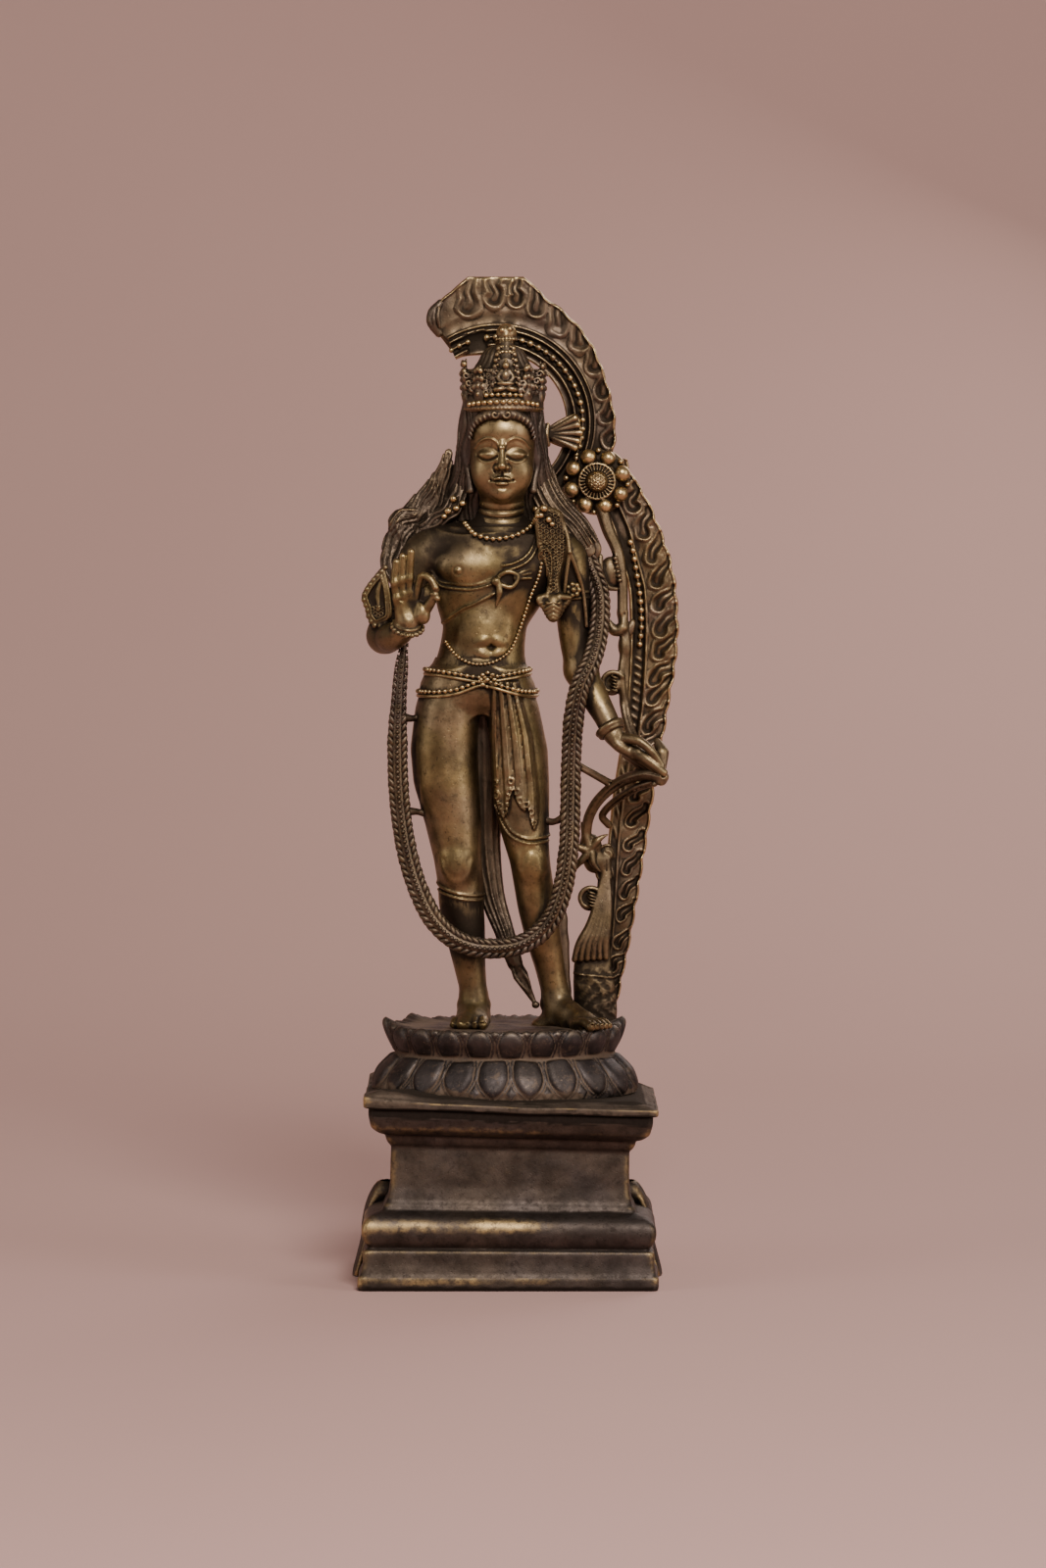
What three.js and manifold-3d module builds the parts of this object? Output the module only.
// A standing bodhisattva cast in brass with its lotus and broken aureole, on a separate moulded plinth.
// Millimetres, +Z up, the viewer looks along +Y; the origin is under the middle of the plinth.
import * as THREE from 'three';
import { mergeVertices } from 'three/addons/utils/BufferGeometryUtils.js';
import Module from 'manifold-3d';

const wasm = await Module();
wasm.setup();

// Driving dimensions
const fullHeight = 395;
const plinthTop = 69;
const seatGap = 0.3; // between the plinth and the plate that stands on it
const plateLean = 0.032; // the top of the plinth and the plate dip to +X by this slope
const lotusFloor = 99.8; // the feet stand on it
const lotusCentre = -1;
const petalCount = 23;
const auraFront = 14; // the aureole is a wall between these two depths
const auraBack = 18;
const haloCentre = { x: -4, z: 337.3 };
const haloInner = 27.3;
const flamePitch = 12.4; // along the body's aureole
const flameTurn = 16; // degrees from flame to flame round the halo
const garlandHalfWidth = 4.1;
const garlandPitch = 8.2; // from leaf to leaf
const rosetteCentre = { x: 35.4, z: 314.1 };
const rosetteRadius = 13.6;
const rosetteBosses = 8;
const cordSides = 4; // cords, fingers and strands are square in section

const brass = new THREE.MeshStandardMaterial({
  color: 0x7d6135,
  roughness: 0.42,
  metalness: 1,
  flatShading: true,
});
const darkBrass = new THREE.MeshStandardMaterial({
  color: 0x4a3a2e,
  roughness: 0.5,
  metalness: 1,
  flatShading: true,
});

const point = (x, y, z) => new THREE.Vector3(x, y, z);
const mix = THREE.MathUtils.lerp;

// A closed triangle mesh as a solid, turned to face outwards.
function solidOf(positions, triangles) {
  let volume = 0;
  const corner = (i) => point(positions[3 * i], positions[3 * i + 1], positions[3 * i + 2]);
  for (let i = 0; i < triangles.length; i += 3) {
    const [a, b, c] = [0, 1, 2].map((k) => corner(triangles[i + k]));
    volume += a.dot(b.cross(c));
  }
  const order = volume < 0 ? [0, 2, 1] : [0, 1, 2];
  const triVerts = new Uint32Array(triangles.length);
  for (let i = 0; i < triangles.length; i += 3) {
    order.forEach((k, n) => {
      triVerts[i + n] = triangles[i + k];
    });
  }
  const vertProperties = new Float32Array(positions);
  return new wasm.Manifold(new wasm.Mesh({ numProp: 3, vertProperties, triVerts }));
}

function solidFromGeometry(geometry) {
  const bare = geometry.index ? geometry.toNonIndexed() : geometry.clone();
  bare.deleteAttribute('normal');
  bare.deleteAttribute('uv');
  const merged = mergeVertices(bare, 1e-4);
  return solidOf(merged.attributes.position.array, merged.index.array);
}

// A closed skin over rings of points that all hold the same count, with a fan over each end.
function skin(rings, looped = false) {
  const count = rings[0].length;
  const positions = rings.flat().flatMap((p) => [p.x, p.y, p.z]);
  const triangles = [];
  const bands = looped ? rings.length : rings.length - 1;
  for (let i = 0; i < bands; i += 1) {
    const j = (i + 1) % rings.length;
    for (let k = 0; k < count; k += 1) {
      const l = (k + 1) % count;
      triangles.push(i * count + k, i * count + l, j * count + l);
      triangles.push(i * count + k, j * count + l, j * count + k);
    }
  }
  if (!looped) {
    for (const [ring, flip] of [[0, true], [rings.length - 1, false]]) {
      const middle = positions.length / 3;
      const centre = rings[ring].reduce((sum, p) => sum.add(p), point(0, 0, 0)).divideScalar(count);
      positions.push(centre.x, centre.y, centre.z);
      for (let k = 0; k < count; k += 1) {
        const a = ring * count + k;
        const b = ring * count + ((k + 1) % count);
        triangles.push(middle, flip ? b : a, flip ? a : b);
      }
    }
  }
  return solidOf(positions, triangles);
}

// A level ring: an ellipse at power 2, boxier above it.
function levelRing([x, y, z, rx, ry, power = 2], sides) {
  const ring = [];
  for (let k = 0; k < sides; k += 1) {
    const angle = (2 * Math.PI * (k + 0.5)) / sides;
    const [c, s] = [Math.cos(angle), Math.sin(angle)];
    const reach = (Math.abs(c) ** power + Math.abs(s) ** power) ** (-1 / power);
    ring.push(point(x + rx * reach * c, y + ry * reach * s, z));
  }
  return ring;
}

const stack = (stations, sides) => skin(stations.map((station) => levelRing(station, sides)));

// The station of a stack at height z, between its neighbours.
function stationAt(stations, z) {
  const rising = stations[0][2] < stations[stations.length - 1][2] ? stations : [...stations].reverse();
  const above = Math.max(1, rising.findIndex((station) => station[2] >= z));
  const [low, high] = [rising[above - 1], rising[above]];
  const share = THREE.MathUtils.clamp((z - low[2]) / (high[2] - low[2]), 0, 1);
  return low.slice(0, 5).map((value, i) => mix(value, high[i], share));
}

// A point on the front of a stack, lifted off it.
function frontOf(stations, x, z, lift = 0) {
  const [cx, cy, , rx, ry] = stationAt(stations, z);
  const across = THREE.MathUtils.clamp((x - cx) / rx, -0.97, 0.97);
  return point(x, cy - ry * Math.sqrt(1 - across * across) - lift, z);
}

const curveThrough = (points) => new THREE.CatmullRomCurve3(points, false, 'centripetal');
const smooth = (points, steps) => curveThrough(points).getPoints(steps);
const path = (places) => places.map((place) => point(...place));

// A tube along a path. size(t) gives its half width across and its half depth towards `facing`.
function tube(path, size, sides = 6, facing = point(0, -1, 0), looped = false) {
  const last = path.length - 1;
  const rings = path.map((centre, i) => {
    const before = path[looped ? (i + last) % path.length : Math.max(0, i - 1)];
    const after = path[looped ? (i + 1) % path.length : Math.min(last, i + 1)];
    const along = after.clone().sub(before).normalize();
    const across = along.clone().cross(facing).normalize();
    const up = across.clone().cross(along).normalize();
    const [width, depth] = size(i / last);
    const ring = [];
    for (let k = 0; k < sides; k += 1) {
      const angle = (2 * Math.PI * (k + 0.5)) / sides;
      ring.push(
        centre
          .clone()
          .addScaledVector(across, width * Math.cos(angle))
          .addScaledVector(up, depth * Math.sin(angle)),
      );
    }
    return ring;
  });
  return skin(rings, looped);
}

const taper = (from, to) => (t) => [mix(from, to, t), mix(from, to, t)];
const even = (width, depth = width) => () => [width, depth];

// A round blob whose poles face front and back.
function blob(x, y, z, rx, ry, rz, around = 6, down = 4) {
  const ball = new THREE.SphereGeometry(1, around, down);
  ball.rotateY(0.3);
  ball.scale(rx, ry, rz);
  ball.translate(x, y, z);
  return solidFromGeometry(ball);
}

// An upright slab from an outline in X and Z, between two depths.
function slab(outline, front, back) {
  const shape = new THREE.Shape(outline.map(([x, z]) => new THREE.Vector2(x, z)));
  const body = new THREE.ExtrudeGeometry(shape, { depth: back - front, bevelEnabled: false });
  body.rotateX(Math.PI / 2);
  body.translate(0, back, 0);
  return solidFromGeometry(body);
}

const join = (solids) => solids.reduce((whole, solid) => whole.add(solid));

function meshOf(solid, name, material) {
  const { vertProperties, triVerts } = solid.getMesh();
  const geometry = new THREE.BufferGeometry();
  geometry.setAttribute('position', new THREE.BufferAttribute(new Float32Array(vertProperties), 3));
  geometry.setIndex(new THREE.BufferAttribute(new Uint32Array(triVerts), 1));
  geometry.computeVertexNormals();
  const mesh = new THREE.Mesh(geometry, material);
  mesh.name = name;
  return mesh;
}

// Plinth: [z, half width, half depth] from the foot up.
const plinthProfile = [
  [0, 57.9, 45.4],
  [0.9, 58.6, 46],
  [5.2, 58.5, 46],
  [6, 57.4, 45],
  [10, 56.6, 44.3],
  [15.2, 56.6, 44.2],
  [16, 54.4, 42.2],
  [18, 54.6, 42.4],
  [20.6, 56.5, 44.1],
  [24, 57, 44.6],
  [27.2, 55.6, 43.3],
  [29.4, 51.8, 39.6],
  [30, 49.3, 37],
  [31.9, 48.9, 36.7],
  [33.4, 47.7, 35.5],
  [39, 46.8, 34.7],
  [54.4, 46.3, 34.2],
  [55, 47.3, 35.2],
  [57, 48.5, 36.3],
  [58.8, 48.7, 36.5],
  [59.4, 51, 38.8],
  [61.6, 54, 41.5],
  [66, 55.2, 42.7],
  [plinthTop, 55.2, 42.7],
];

// A level ring with straight sides and cut corners that dips to +X as it rises.
function blockRing([z, halfWidth, halfDepth], corner, centre) {
  const ring = [];
  for (const [sx, sy] of [[1, -1], [1, 1], [-1, 1], [-1, -1]]) {
    for (const turn of sx === sy ? [1, 0] : [0, 1]) {
      const cut = corner * (1 - Math.cos((turn * Math.PI) / 2));
      const keep = corner * (1 - Math.sin((turn * Math.PI) / 2));
      ring.push([sx * (halfWidth - keep), sy * (halfDepth - cut)]);
    }
  }
  const dip = plateLean * Math.min(1, z / plinthTop);
  return ring.map(([x, y]) => point(centre + x, y, z - dip * x));
}

function buildPlinth() {
  const centre = (z) => mix(0.4, 1.5, z / plinthTop);
  const block = skin(plinthProfile.map((row) => blockRing(row, 2.2, centre(row[0]))));
  // strap lugs from the dado over the torus down to the foot, one at the middle of each end
  const lugs = [-1, 1].map((side) => {
    const route = [[46, 33.8], [50.8, 33], [54.4, 29], [56.4, 24], [57, 15], [60, 3]];
    return tube(route.map(([x, z]) => point(side * x, 0, z)), even(2.1, 6), 6, point(0, 1, 0));
  });
  return join([block, ...lugs]);
}

// Lotus rows from below: [z, half width, half depth, petal rise].
// The lower petals hang to a point, the upper ones stand with round tops between them.
const lotusRows = [
  [74, 52, 40.4, 0],
  [77, 52.2, 40.4, 0.8],
  [82.4, 49.8, 38.2, 2.3],
  [88.6, 44, 33.8, 0.3],
  [90.8, 43.2, 33.4, 0.4],
  [95.6, 45.6, 36, 1.7],
  [lotusFloor, 44.6, 35.6, 1.2],
];
const upperRowFrom = 89.6;

// Angles that space a count of places evenly along an ellipse.
function evenAngles(count, a, b) {
  const steps = 720;
  const lengths = [0];
  for (let i = 1; i <= steps; i += 1) {
    const angle = (2 * Math.PI * (i - 0.5)) / steps;
    lengths.push(lengths[i - 1] + Math.hypot(a * Math.sin(angle), b * Math.cos(angle)));
  }
  return (place) => {
    const wanted = ((((place / count) % 1) + 1) % 1) * lengths[steps];
    return (2 * Math.PI * lengths.findIndex((length) => length >= wanted)) / steps;
  };
}

function buildLotus() {
  const plateTop = 72.3;
  const plate = skin(
    [
      [plinthTop + seatGap, 55.6, 43.1],
      [plinthTop + seatGap + 0.5, 57.2, 44.4],
      [plateTop - 0.5, 57.3, 44.5],
      [plateTop, 56.7, 43.9],
      [77.2, 50.5, 39],
    ].map((row) => blockRing(row, 2, 1.5)),
  );
  // two places a petal: the groove beside it and the ridge of its face
  const angleOf = evenAngles(petalCount, 50, 38.5);
  const rows = lotusRows.map(([z, a, b, rise]) => {
    const shift = z > upperRowFrom ? 0.25 : 0.75;
    const ring = [];
    for (let k = 0; k < petalCount; k += 1) {
      for (const [aside, lift] of [[-0.5, 0], [0, rise]]) {
        const angle = angleOf(k + shift + aside);
        ring.push(point(lotusCentre + (a + lift) * Math.cos(angle), (b + lift) * Math.sin(angle), z));
      }
    }
    return ring;
  });
  const tips = [[-45.2, -2, 1.6], [-36, 20, 2.2], [43.8, 4, 1.4]].map(([x, y, rise]) =>
    blob(x, y, lotusFloor, 2.6, 2.6, rise + 1),
  );
  return [plate, skin(rows), ...tips];
}

// Body stations: [x, y, z, half width, half depth]
const rightLeg = [
  [-20.6, 0.5, 240, 10.6, 13],
  [-23.5, 0, 226, 12.6, 14.2],
  [-24.9, -0.6, 209, 13.3, 13.6],
  [-24.1, -1.2, 195, 12.8, 12.8],
  [-21.4, -1.8, 180, 10.8, 11.2],
  [-19.5, -2.6, 165, 9, 9.8],
  [-18.6, -1.6, 152, 8.8, 9.6],
  [-17, 0, 138, 8, 9],
  [-15.1, 0.8, 124, 6.4, 7.3],
  [-13.4, 1, 113, 5.3, 6.2],
  [-13, 1, 101, 6, 7],
];
const leftLeg = [
  [-2.4, 0.5, 240, 9.6, 13],
  [1.5, 0, 226, 10.8, 13.8],
  [4.8, -0.8, 209, 11.1, 13],
  [5.4, -1.8, 193, 10.7, 12],
  [6.4, -3, 178, 9.6, 10.8],
  [9, -4, 164, 7.9, 9.4],
  [11.6, -2.4, 149, 8, 9.2],
  [14.2, -0.2, 134, 7.1, 8.2],
  [17, 1.2, 121, 5.8, 6.6],
  [19.2, 1.6, 111, 5.6, 6.2],
  [20, 1.6, 101, 6, 6.8],
];
const torsoSides = 11;
const torso = [
  [-11.5, 0.5, 229, 21.6, 14],
  [-12, 0.4, 234, 21.8, 14.6],
  [-11.4, 0.2, 241, 18.9, 13.8],
  [-9.7, 0, 250, 16.6, 12],
  [-8.8, 0, 257, 16.4, 11.4],
  [-6.8, -0.2, 265, 19.8, 12],
  [-5, -0.6, 273, 23.4, 13],
  [-3.4, -0.8, 281, 25.4, 13.8],
  [-2.8, -0.4, 288, 26.6, 13.2],
  [-2.4, 0.6, 294, 26, 11],
  [-2.2, 1.6, 299, 19, 8.8],
  [-2.6, 1.4, 303, 10.6, 8.4],
  [-2.9, 0.6, 312, 9.3, 8.6],
];

function buildBody() {
  return [
    stack(torso, torsoSides),
    stack(rightLeg, 10),
    stack(leftLeg, 10),
    // the chest and the seat, right and left
    blob(-17, -8.4, 279.5, 10, 6, 7.5),
    blob(8, -8, 281, 9.4, 6, 7),
    blob(-17, 9, 231, 11, 8.4, 11),
    blob(1, 9, 230, 10.4, 8, 11),
    // the rough lump of metal under the left heel
    blob(17, 3, 100.6, 7, 5.4, 5),
  ];
}

// A foot along the floor from its heel to its toes, which end it in a row.
function foot(heel, toes, ankle, halfWidth) {
  const along = toes.clone().sub(heel);
  const ahead = along.clone().normalize();
  const across = point(-ahead.y, ahead.x, 0);
  const sole = lotusFloor - 1;
  // share of the length, share of the half width, height
  const rows = [
    [0, 0.62, 6],
    [0.18, 0.85, 8.6],
    [0.42, 0.82, 9],
    [0.66, 0.98, 6],
    [0.84, 1.06, 4],
  ];
  // across a row: share of its half width and of its height
  const section = [[-1, 0.5], [-0.72, 0.88], [0, 1], [0.72, 0.86], [1, 0.45], [1, 0], [-1, 0]];
  const rings = rows.map(([t, wide, high]) =>
    section.map(([aside, up]) =>
      heel
        .clone()
        .addScaledVector(along, t)
        .addScaledVector(across, aside * wide * halfWidth)
        .setZ(sole + up * high),
    ),
  );
  const toeTubes = [-1, -0.5, 0, 0.5, 1].map((spread) => {
    const radius = spread === -1 ? 1.7 : 1.35;
    const middle = heel.clone().addScaledVector(along, 0.92 - 0.06 * spread);
    middle.addScaledVector(across, spread * 0.86 * halfWidth);
    const root = middle.clone().addScaledVector(ahead, -5).setZ(lotusFloor + 2.4);
    const tip = middle.clone().addScaledVector(ahead, 2.6).setZ(lotusFloor + 1.1);
    return tube([root, tip], taper(radius * 1.2, radius * 0.9), cordSides, point(0, 0, 1));
  });
  const neck = heel.clone().addScaledVector(along, 0.3).setZ(lotusFloor + 4);
  const shin = tube([ankle, neck], taper(5.2, 6), 8, point(0, -1, 0.2));
  return [skin(rings), shin, ...toeTubes];
}

// Finger and thumb chains: [x, y, z] from knuckle to tip, with the radius at each end.
const rightFingers = [
  [[[-42.2, -19.6, 268], [-43.7, -21.2, 283]], 1.8, 1.4],
  [[[-40, -19.8, 270], [-40.8, -21.8, 285]], 1.9, 1.5],
  [[[-37.8, -19.8, 271], [-37.6, -22.4, 286.8]], 2, 1.5],
  [[[-35.4, -19.8, 270.4], [-34, -22.6, 278.4], [-31.8, -24.6, 275.4]], 1.8, 1.4],
  [[[-33.4, -19, 262.6], [-29.6, -22, 268.4], [-30.4, -24, 274]], 2.3, 1.6],
];
const leftFingers = [
  [[[49.4, -9.6, 208.6], [60.8, -14.4, 200.4]], 2, 1.5],
  [[[49.4, -7.2, 208.2], [61, -12, 198.8]], 2, 1.5],
  [[[48.6, -4.8, 208], [59, -9.4, 198.4]], 1.9, 1.5],
  [[[47.4, -3.2, 207.6], [55.8, -6.4, 198.6]], 1.8, 1.4],
  [[[46.4, -10.6, 213], [56.6, -12.4, 211.6], [60.8, -13, 201.6]], 2.1, 1.6],
];

function hand(fingers) {
  const fullness = 1.12; // the square section's share for a round finger
  return fingers.map(([chain, from, to]) =>
    tube(path(chain), taper(from * fullness, to * fullness), cordSides, point(0.2, -1, 0.1)),
  );
}

// A bracelet: a short band across an arm.
function bandAcross(centre, axis, radius, halfLength) {
  const along = axis.clone().normalize().multiplyScalar(halfLength);
  return tube([centre.clone().sub(along), centre.clone().add(along)], even(radius), 8, point(1, 0, 0));
}

function buildArms() {
  const rightUpper = [
    [-22, 1.4, 290],
    [-32.6, 1.4, 286],
    [-40.6, 1.4, 271],
    [-46.6, 0.4, 259],
    [-48, -1, 253],
  ];
  const rightLower = [
    [-48, 0, 253],
    [-45.4, -8, 253.4],
    [-41.4, -14.4, 255],
    [-38.6, -18, 258.6],
  ];
  const leftUpper = [
    [14, 1.4, 291],
    [23, 1.8, 286],
    [26, 2, 268],
    [27, 2, 252],
    [29, 1, 239],
  ];
  const leftLower = [
    [29, 1.4, 240],
    [33.4, -2, 231],
    [38.4, -5.6, 222.4],
    [42.4, -8, 214.6],
  ];
  const widths = (list) => (t) => {
    const at = Math.round(t * (list.length - 1));
    return [list[at], list[at]];
  };
  const palm = stack(
    [
      [-38.2, -17.6, 257, 3.8, 3.4],
      [-38, -18.6, 262, 5.6, 3.2],
      [-38.6, -19.6, 269, 5.6, 2.5],
      [-39, -20, 273, 4.6, 2.2],
    ],
    6,
  );
  const leftPalm = tube(
    path([[41.2, -7.8, 214], [44.4, -8, 210.4], [50.2, -8, 206.8]]),
    widths([3.8, 4.8, 4.2]),
    6,
    point(0.5, 0, 0.8),
  );
  const thumbPad = blob(-33.6, -20.2, 263.4, 3.2, 2.6, 4.4);
  const elbow = blob(-48.4, 0, 253.2, 6.8, 6.8, 6.8);
  const leafArmlet = blob(-50.6, -3, 267.6, 6.2, 4.4, 11.2);
  const flowerArmlet = blob(26.8, -6, 271.9, 3.2, 3, 3.2);
  return [
    tube(path(rightUpper), widths([7.6, 9.6, 7.6, 6.8, 5.6]), 8),
    tube(path(rightLower), widths([5.8, 6, 4.9, 4]), 8, point(0, 0, 1)),
    tube(path(leftUpper), widths([7.2, 9.2, 7, 6.2, 5.8]), 8),
    tube(path(leftLower), widths([5.8, 5.6, 4.8, 4.2]), 8),
    elbow,
    palm,
    thumbPad,
    leftPalm,
    ...hand(rightFingers),
    ...hand(leftFingers),
    bandAcross(point(-38.6, -17, 256.8), point(0.1, -0.55, 0.83), 6.2, 1.3),
    bandAcross(point(40.2, -7, 217.6), point(0.5, -0.28, -0.82), 6.2, 1.8),
    leafArmlet,
    flowerArmlet,
  ];
}

function buildHead() {
  const face = [
    [-1.7, -8, 306.4, 3.4, 3.6],
    [-1.8, -5.6, 308.6, 7, 7.4],
    [-1.9, -3.4, 312.6, 10, 10.8],
    [-2, -2, 318, 11.8, 12.8],
    [-2, -1.4, 324, 12.6, 13.6],
    [-2, -0.6, 336, 12.4, 14.4],
    [-1.9, 0, 342, 11.6, 14],
    [-1.8, 0.6, 350, 9.6, 11.6],
  ];
  const hair = [
    [-1.9, 7, 300, 16, 5],
    [-1.9, 6.4, 310, 19.6, 7],
    [-2, 5, 318, 18.6, 8.8],
    [-2.4, 3.6, 327, 18, 10.8],
    [-2.6, 2.2, 337, 17.2, 13.4],
    [-2, 1.2, 345, 15, 14.4],
  ];
  const faceCentre = -2;
  const brows = [-1, 1].map((side) =>
    tube(
      path([
        [faceCentre + side, -15.4, 327.6],
        [faceCentre + side * 5, -14.6, 329.6],
        [faceCentre + side * 9, -11.6, 327.6],
      ]),
      even(0.9),
      cordSides,
    ),
  );
  const lids = [-1, 1].map((side) => blob(faceCentre + side * 5.2, -12, 324.4, 3.2, 2.6, 1.9));
  const nose = tube(
    path([[faceCentre, -14.4, 327.4], [faceCentre, -16, 322], [faceCentre, -17.4, 318]]),
    taper(0.9, 1.9),
    6,
  );
  const lips = blob(faceCentre, -13.4, 313.8, 3.8, 2.4, 1.7);
  const ears = [-1, 1].map((side) => blob(faceCentre + side * 13, -1.6, 320, 2, 2.6, 8.4));
  const hairline = tube(
    smooth(
      path([[-14.6, -5, 337], [-9, -12.4, 339], [-2, -14.4, 339.6], [5, -12.4, 339], [10.6, -5, 337]]),
      6,
    ),
    even(2),
    cordSides,
  );
  // the crease that rings the neck
  const neckRing = stack(
    [
      [-2.8, 0.6, 301, 9.6, 9],
      [-2.8, 0.6, 302.4, 10.6, 10],
      [-2.8, 0.6, 303.8, 9.6, 9],
    ],
    8,
  );
  return [stack(face, 10), stack(hair, 10), hairline, ...brows, ...lids, nose, lips, ...ears, neckRing];
}

// Crown: a band, a wall with leaf crests, and a tall middle leaf with a seated figure and a knob.
function buildCrown() {
  const middle = -1.5;
  const wallRows = [
    [342, 15.6, 15],
    [343.4, 16.7, 16],
    [346, 16.7, 16],
    [347, 15.6, 14.8],
    [357, 15, 14],
    [358, 13.4, 12.6],
  ];
  const wall = stack(wallRows.map(([z, rx, ry]) => [middle, 0, z, rx, ry]), 12);
  const crests = [-75, -38, 38, 75].map((turn) => {
    const angle = THREE.MathUtils.degToRad(turn - 90);
    const foot = point(middle + 13.8 * Math.cos(angle), 13.6 * Math.sin(angle), 350);
    const tip = foot.clone().setZ(361.5);
    const shoulder = foot.clone().setZ(357);
    const facing = point(Math.cos(angle), Math.sin(angle), 0);
    return tube([foot, shoulder, tip], (t) => [mix(4.8, 1, t * t), 1.7], cordSides, facing);
  });
  const tallLeaf = stack(
    [
      [-0.6, -9, 346, 5, 5.6],
      [-0.6, -9.6, 352, 5.4, 5.6],
      [-0.5, -8, 360, 5, 6],
      [-0.3, -3.6, 370, 3.9, 4.4],
    ],
    6,
  );
  const dome = stack([[-1.6, 1.4, 356, 12.4, 11.4], [-1.4, 1.6, 362, 9, 8.6], [-0.6, 0, 371, 2, 3]], 8);
  const knob = blob(-0.3, -3, 372.2, 4.2, 4.2, 4);
  const seatedFigure = [
    blob(-0.6, -14.6, 351.2, 4.6, 2, 1.5),
    blob(-0.6, -14.6, 355, 2.4, 1.8, 3),
    blob(-0.5, -14, 360, 1.9, 2, 2.2, 5, 4),
  ];
  // the tang that holds the crown's knob to the halo
  const tang = tube(path([[-0.6, -2, 370], [-3, 16, 369]]), even(2.4), cordSides, point(0, 0, 1));
  return [wall, ...crests, tallLeaf, knob, dome, ...seatedFigure, tang];
}

// The aureole's edges by height: [z, inner x, outer x] up its right side.
const auraRight = [
  [96, 27, 41.8],
  [104, 31.5, 43.6],
  [116, 35, 45.8],
  [131, 37.4, 49],
  [151, 38.8, 52.4],
  [170, 39.8, 55.4],
  [190, 41.8, 58.4],
  [210, 45, 61.8],
  [226, 47.2, 64.4],
  [242, 48.2, 67.2],
  [256, 48.6, 68.4],
  [272, 48, 67.6],
  [284, 44.6, 65],
  [296, 41.6, 60.8],
  [307, 36.4, 56],
  [318, 30, 49],
];
const onHalo = (radius, degrees) => {
  const angle = THREE.MathUtils.degToRad(degrees);
  return [haloCentre.x + radius * Math.cos(angle), haloCentre.z + radius * Math.sin(angle)];
};

// The halo's outer radius by angle from +X: it widens over the head to a crest that is chopped off level.
function haloOuter(degrees) {
  const { smoothstep } = THREE.MathUtils;
  const swept = 46.4 + 5.6 * smoothstep(degrees, 20, 72) + 8 * smoothstep(degrees, 66, 80);
  const level = (fullHeight - haloCentre.z) / Math.sin(THREE.MathUtils.degToRad(degrees));
  return degrees > 60 ? Math.min(level, swept) : swept;
}

// An edge of the aureole at height z: column 1 of its rows is the inner one, 2 the outer.
function auraEdge(z, column) {
  const above = auraRight.findIndex((row) => row[0] >= z);
  const [low, high] = [auraRight[above - 1], auraRight[above]];
  return mix(low[column], high[column], (z - low[0]) / (high[0] - low[0]));
}

// A flame: a raised loop that opens along its heading, with one lip longer than the other.
function flame(x, z, heading, size) {
  const ahead = point(Math.cos(heading), 0, Math.sin(heading));
  const aside = point(-ahead.z, 0, ahead.x);
  const loop = [
    [5.4, -1.4],
    [-1.4, -2.2],
    [-1, 2.2],
    [6, 3],
  ].map(([forward, sideways]) =>
    point(x, auraFront, z)
      .addScaledVector(ahead, forward * size)
      .addScaledVector(aside, sideways * size),
  );
  return tube(loop, even(1.1, 1.7), 3);
}

function buildAureole() {
  const crestEnd = 101;
  const arcOut = [];
  for (let degrees = -15; degrees <= crestEnd; degrees += 5.8) {
    arcOut.push(onHalo(haloOuter(degrees), degrees));
  }
  const arcIn = [];
  for (let degrees = 112; degrees >= -30; degrees -= 12) {
    arcIn.push(onHalo(haloInner, degrees));
  }
  const brokenEnd = [[-29.3, 383.4], [-30.4, 378.4], [-28, 373], [-23.6, 370.6], [-20.8, 363]];
  const edge = (column, steps) =>
    smooth(auraRight.map((row) => point(row[column], 0, row[0])), steps).map((p) => [p.x, p.z]);
  const outline = [...edge(2, 17).slice(0, -1), ...arcOut, ...brokenEnd, ...arcIn, ...edge(1, 14).reverse()];
  const rail = (radius, from, to) => {
    const arc = [];
    for (let degrees = from; degrees <= to; degrees += 12) {
      const [x, z] = onHalo(radius, degrees);
      arc.push(point(x, auraFront, z));
    }
    return tube(arc, even(1.2), cordSides);
  };
  const bodyBeads = auraRight.filter(([z]) => z > 205 && z < 300);
  const beadBand = smooth(bodyBeads.map(([z, inside]) => point(inside + 3.8, auraFront - 0.2, z)), 8);
  const flames = [];
  for (let z = 112; z < 312; z += flamePitch) {
    const size = THREE.MathUtils.clamp((auraEdge(z, 2) - auraEdge(z, 1)) / 18, 0.7, 1.15);
    const heading = THREE.MathUtils.degToRad(52 + 0.1 * (z - 200));
    flames.push(flame(auraEdge(z, 2) - 6.8 * size, z, heading, size));
  }
  for (let degrees = -2; degrees <= 114; degrees += flameTurn) {
    const [x, z] = onHalo(Math.min(haloOuter(degrees) - 7, 46), degrees);
    flames.push(flame(x, z, THREE.MathUtils.degToRad(degrees + 4), 1.1));
  }
  return [
    slab(outline, auraFront, auraBack),
    rail(30.6, -12, 60),
    rail(33.8, -12, 112),
    rail(36.8, -12, 114),
    tube(beadBand, even(1.9), cordSides),
    ...flames,
  ];
}

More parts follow.
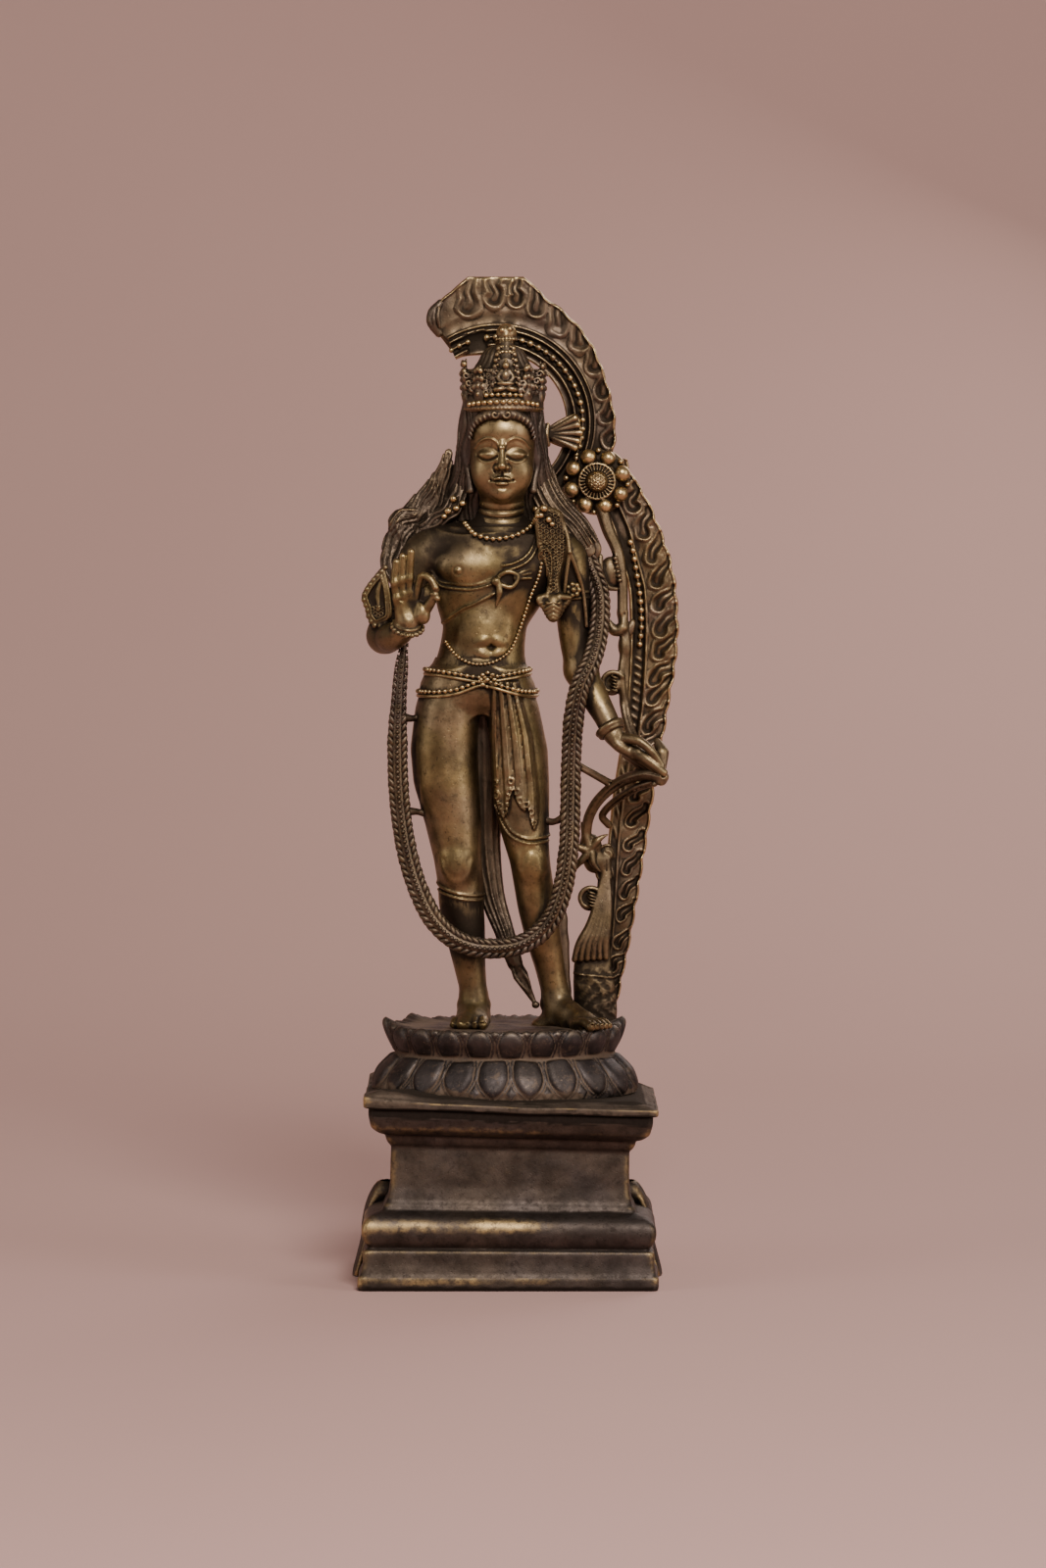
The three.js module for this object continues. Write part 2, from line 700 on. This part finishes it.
function buildRosette() {
  const { x, z } = rosetteCentre;
  const around = (count, place, radius) => {
    const angle = (2 * Math.PI * place) / count;
    return [x + radius * Math.cos(angle), z + radius * Math.sin(angle)];
  };
  const corners = 2 * rosetteBosses;
  const outline = Array.from({ length: corners }, (_, k) =>
    around(corners, k, rosetteRadius * (k % 2 ? 0.8 : 0.96)),
  );
  const bosses = Array.from({ length: rosetteBosses }, (_, k) => {
    const [bossX, bossZ] = around(rosetteBosses, k + 0.25, 10.4);
    return blob(bossX, 8.6, bossZ, 3.5, 3.2, 3.5);
  });
  return [slab(outline, 8.4, 16), ...bosses, blob(x, 8, z, 5.4, 4.4, 5.4, 8, 6)];
}

// The fan-shaped ribbon end that ties the hair to the halo.
function buildFan() {
  const tie = slab([[13, 334.6], [21, 340.4], [28, 342], [29.6, 326.4], [21, 326.6], [13, 330]], 9.6, 15);
  const ribs = [0.6, -0.3].map((turn) =>
    tube(path([[15, 8, 333], [29, 11, 334 + 8 * turn]]), taper(2, 3.4), cordSides),
  );
  return [tie, ...ribs];
}

// The lotus stem that rises beside the left arm, its leaves, and the bundle of stems below the hand.
function buildStem() {
  const fullness = 1.1; // the square section's share for a round strand
  const strand = (places, from, to) =>
    tube(smooth(path(places), 5), taper(from * fullness, to * fullness), cordSides);
  const fromFlower = strand(
    [[37, 12, 304], [39.8, 12, 295], [43.6, 12, 286], [45.4, 12, 274], [45.6, 12, 262]],
    2.6,
    2.1,
  );
  const toHand = strand(
    [[45.6, 12, 262], [46.6, 12, 250], [46.4, 12, 238], [46.4, 11, 226], [49, 5, 215], [53, -3, 208]],
    2.1,
    1.8,
  );
  const upperLeaves = [
    blob(40.4, 11.4, 277.6, 4, 3.2, 6.2),
    blob(45.4, 11.6, 256, 2.4, 2.4, 4.4),
    blob(42.6, 11.6, 234, 4, 3, 5.8),
  ];
  const fromHand = strand(
    [
      [61, -13, 197.6],
      [54, -8, 198.6],
      [44.6, -1, 195.6],
      [36.6, 4, 189],
      [32.2, 8, 181],
      [31, 11, 171],
    ],
    2.3,
    2,
  );
  const hook = strand(
    [[59, -9, 196], [50.6, -3, 193.4], [42.4, 4, 188], [37.6, 9, 182], [40.6, 13, 178]],
    1.6,
    1.4,
  );
  const lowerStem = strand(
    [[38.6, 13, 164], [38.4, 13, 152], [35.6, 12.6, 140], [32.4, 12.4, 127]],
    2.6,
    3.2,
  );
  const sheath = stack(
    [
      [34.4, 14, 98, 8.4, 4.6],
      [34.4, 14, 108, 8.2, 4.6],
      [34.4, 13.6, 119, 8.8, 4.8],
      [34, 13.6, 127, 6.8, 3.8],
    ],
    8,
  );
  const spike = tube(path([[29, 12, 171], [28.6, 11.4, 177.6]]), taper(1.6, 0.8), cordSides);
  const strut = tube(path([[25.4, -9, 204], [33, -4, 199.6], [40.6, 1, 194.6]]), even(1.5), cordSides);
  return [
    fromFlower,
    toHand,
    ...upperLeaves,
    fromHand,
    hook,
    blob(60.6, -12.4, 196.6, 2, 2, 2, 5, 4),
    blob(33.6, 12, 168.6, 4.6, 3.2, 8),
    spike,
    blob(32.4, 13, 148.4, 5, 3.4, 4.8),
    lowerStem,
    sheath,
    strut,
  ];
}

// The long garland's middle line, from the left shoulder down round the shins and up to the right elbow.
const garlandRoute = [
  [28, 5, 293],
  [31.8, 3, 282],
  [36.2, 0.6, 270],
  [36, -2.6, 256],
  [33.4, -8, 244.6],
  [28.6, -11, 234],
  [26, -10.4, 220],
  [25.1, -9.4, 203],
  [24.8, -10.4, 187],
  [24.2, -12.6, 171],
  [21.8, -14.2, 154.6],
  [16.6, -15.2, 141.6],
  [7, -15.6, 133.4],
  [-6, -15.6, 131],
  [-18.6, -15, 133.6],
  [-27.8, -13.8, 141],
  [-33.8, -12, 151.4],
  [-38.2, -10.4, 164],
  [-41.2, -9, 179],
  [-42.8, -8.4, 196],
  [-43.1, -8.2, 214],
  [-42.3, -8, 232],
  [-40.4, -8, 249],
];

// A leafy garland: a flat tube whose edges swell once per leaf, and the struts that hold it to the legs.
function buildGarland() {
  const route = curveThrough(path(garlandRoute));
  const leaves = Math.round(route.getLength() / garlandPitch);
  const places = route.getSpacedPoints(leaves * 2);
  const swell = (t) => {
    const narrow = Math.min(1, 0.62 + (1 - t) * 4); // it thins where it meets the right elbow
    const leaf = Math.round(t * leaves * 2) % 2 ? 1.44 : 1.18;
    return [garlandHalfWidth * leaf * narrow, 2.9];
  };
  const struts = [
    [[-41, -8, 222], [-34, -3, 222]],
    [[-40, -8.4, 184], [-28, -3, 184]],
    [[24, -11, 182], [12, -5, 182]],
  ].map((ends) => tube(path(ends), even(1.7), cordSides, point(0, 0, 1)));
  return [tube(places, swell, cordSides), ...struts];
}

// The pleated fan on the left thigh: ribs and grooves that spread to a stepped hem.
function buildPleats() {
  const ribs = 5;
  const rows = [
    [232.6, -6, 5],
    [214, -6.6, 10.2],
    [196, -5.8, 12.2],
    [184, -4.6, 12.4],
  ];
  return skin(
    rows.map(([z, left, right], row) => {
      const front = Array.from({ length: 2 * ribs + 1 }, (_, k) => {
        const ridge = k % 2 ? 1.6 : 0;
        const step = row === rows.length - 1 ? 4 * Math.sin(k * 1.9) : 0;
        return frontOf(leftLeg, mix(left, right, k / (2 * ribs)), z, 1 + ridge).setZ(z + step);
      });
      return [...front, frontOf(leftLeg, mix(left, right, 0.5), z, -4)];
    }),
  );
}

// Two strings of beads round the hips: the upper dips at the front and the lower rises to meet it.
function buildBelts() {
  const beltRadius = 1.7;
  const around = (z, rise, lift) =>
    Array.from({ length: torsoSides }, (_, k) => {
      const angle = (2 * Math.PI * (k + 0.5)) / torsoSides;
      const front = Math.max(0, -Math.sin(angle));
      const height = z + rise * front * front;
      const [x, y, , rx, ry] = stationAt(torso, height);
      return point(x + (rx + lift) * Math.cos(angle), y + (ry + lift) * Math.sin(angle), height);
    });
  const clasp = frontOf(torso, -7.8, 237.4, 1);
  return [
    tube(around(240.4, -2.2, 0.2), even(beltRadius), cordSides, point(0, 0, 1), true),
    tube(around(231.6, 4, 0.4), even(beltRadius), cordSides, point(0, 0, 1), true),
    blob(clasp.x, clasp.y, clasp.z, 4, 2.4, 4),
  ];
}

// Cords, jewels and the sash that lie on the body.
function buildOrnaments() {
  const onTorso = (places, lift) => places.map(([x, z]) => frontOf(torso, x, z, lift));
  const cord = (places, radius) => tube(onTorso(places, 0.2), even(radius), cordSides);
  const necklace = cord(
    [[-18.6, 300], [-14.4, 295], [-7, 291.8], [0, 291.8], [6.6, 294.4], [10.4, 298]],
    1.5,
  );
  const beadedCord = cord(
    [[12.6, 280], [9.4, 269], [5, 257], [-2, 245.4], [-10.2, 242.6], [-17.8, 245], [-23.6, 251]],
    1.4,
  );
  const scarf = cord([[12.2, 290], [6, 280.6], [-3, 275], [-14, 271.4], [-26.4, 272.8]], 1.6);
  const knotTail = tube(onTorso([[2.6, 279], [-3.6, 275], [-4.4, 266]], 0.6), taper(2.2, 1.4), cordSides);
  // the antelope skin that hangs over the left shoulder
  const antelopeSkin = stack(
    [
      [17.4, -6, 261, 3.4, 6],
      [17.6, -7, 267, 6.4, 6.6],
      [17.6, -7, 277, 4.4, 6],
      [17.4, -4, 297, 6.6, 6.4],
    ],
    6,
  );
  // clusters of beads on the shoulders, and the hair that spreads under them
  const shoulderBeads = path([
    [-21.6, -3.6, 304.8],
    [-18.4, -5, 303.4],
    [12.6, -5.4, 301.6],
    [16, -5, 299.4],
  ]).map(({ x, y, z }) => blob(x, y, z, 2.4, 2.8, 2.4, 5, 4));
  const locks = [
    blob(-19, 0.5, 303, 5.4, 6.4, 4),
    blob(13.6, -0.5, 300, 5.4, 6.4, 4),
  ];
  // the sash end that hangs behind and between the legs, and the strip behind the left calf
  const rearSash = tube(
    path([
      [-9.4, 4, 230],
      [-8.6, 5, 190],
      [-8.2, 5, 170],
      [-5.4, 4, 151],
      [-1, 2.4, 137],
      [3.4, 1.6, 124],
      [6.6, 0.6, 115.4],
      [10.4, -0.4, 109],
    ]),
    (t) => [mix(7.3, 2, t * t), mix(3.2, 1.8, t)],
    cordSides,
  );
  const calfStrip = slab([[16, 142], [22.6, 138], [23, 112], [25, 98.6], [14, 98.6], [16.6, 112]], 5, 10);
  return [
    necklace,
    beadedCord,
    scarf,
    knotTail,
    antelopeSkin,
    ...shoulderBeads,
    ...locks,
    rearSash,
    calfStrip,
  ];
}

// Fluted ribbons that rise behind the right shoulder, and the hair that falls behind both.
function buildRibbons() {
  const ribbon = (places, halfWidths) => {
    const width = (t) => {
      const at = t * (halfWidths.length - 1);
      const low = Math.min(Math.floor(at), halfWidths.length - 2);
      return [mix(halfWidths[low], halfWidths[low + 1], at - low), 2.8];
    };
    return tube(smooth(path(places), 5), width, cordSides);
  };
  return [
    ribbon(
      [[-23, 6, 325.6], [-25.4, 6.4, 317], [-29.4, 6.6, 308], [-35, 6.4, 300], [-38, 6, 292]],
      [1.4, 3.6, 5.5, 7.9, 8.4],
    ),
    ribbon([[-36, 6, 301], [-41.4, 5.6, 300.4], [-44, 5, 297], [-42, 5, 292]], [3.1, 3.8, 3.6, 3.1]),
    ribbon([[-41, 6, 297], [-44.6, 5.4, 289], [-46.4, 4, 282], [-44, 2, 276]], [4.8, 5.5, 4.3, 3.6]),
    ribbon([[-18, 8, 318], [-20, 8.4, 308], [-23, 7, 299], [-26, 5, 291]], [4.8, 6.4, 9.4, 9.6]),
    ribbon(
      [[12.6, 8, 324], [15.2, 8.4, 312], [20, 8, 303], [27, 6, 296], [33, 4, 287]],
      [3.6, 5.5, 6.5, 6, 4.8],
    ),
  ];
}

const figureParts = [
  ...buildLotus(),
  ...buildBody(),
  ...foot(point(-12.6, 7.4, 0), point(-15.4, -16.4, 0), point(-13.2, 1, 110), 6.6),
  ...foot(point(19.4, 5.6, 0), point(36, -14.6, 0), point(19.4, 1.6, 110), 6.2),
  ...buildArms(),
  ...buildHead(),
  ...buildCrown(),
  ...buildAureole(),
  ...buildRosette(),
  ...buildFan(),
  ...buildStem(),
  ...buildGarland(),
  buildPleats(),
  ...buildBelts(),
  ...buildOrnaments(),
  ...buildRibbons(),
];

const bodhisattva = new THREE.Group();
bodhisattva.add(meshOf(join(figureParts), 'figure', brass));
bodhisattva.add(meshOf(buildPlinth(), 'plinth', darkBrass));

export default bodhisattva;
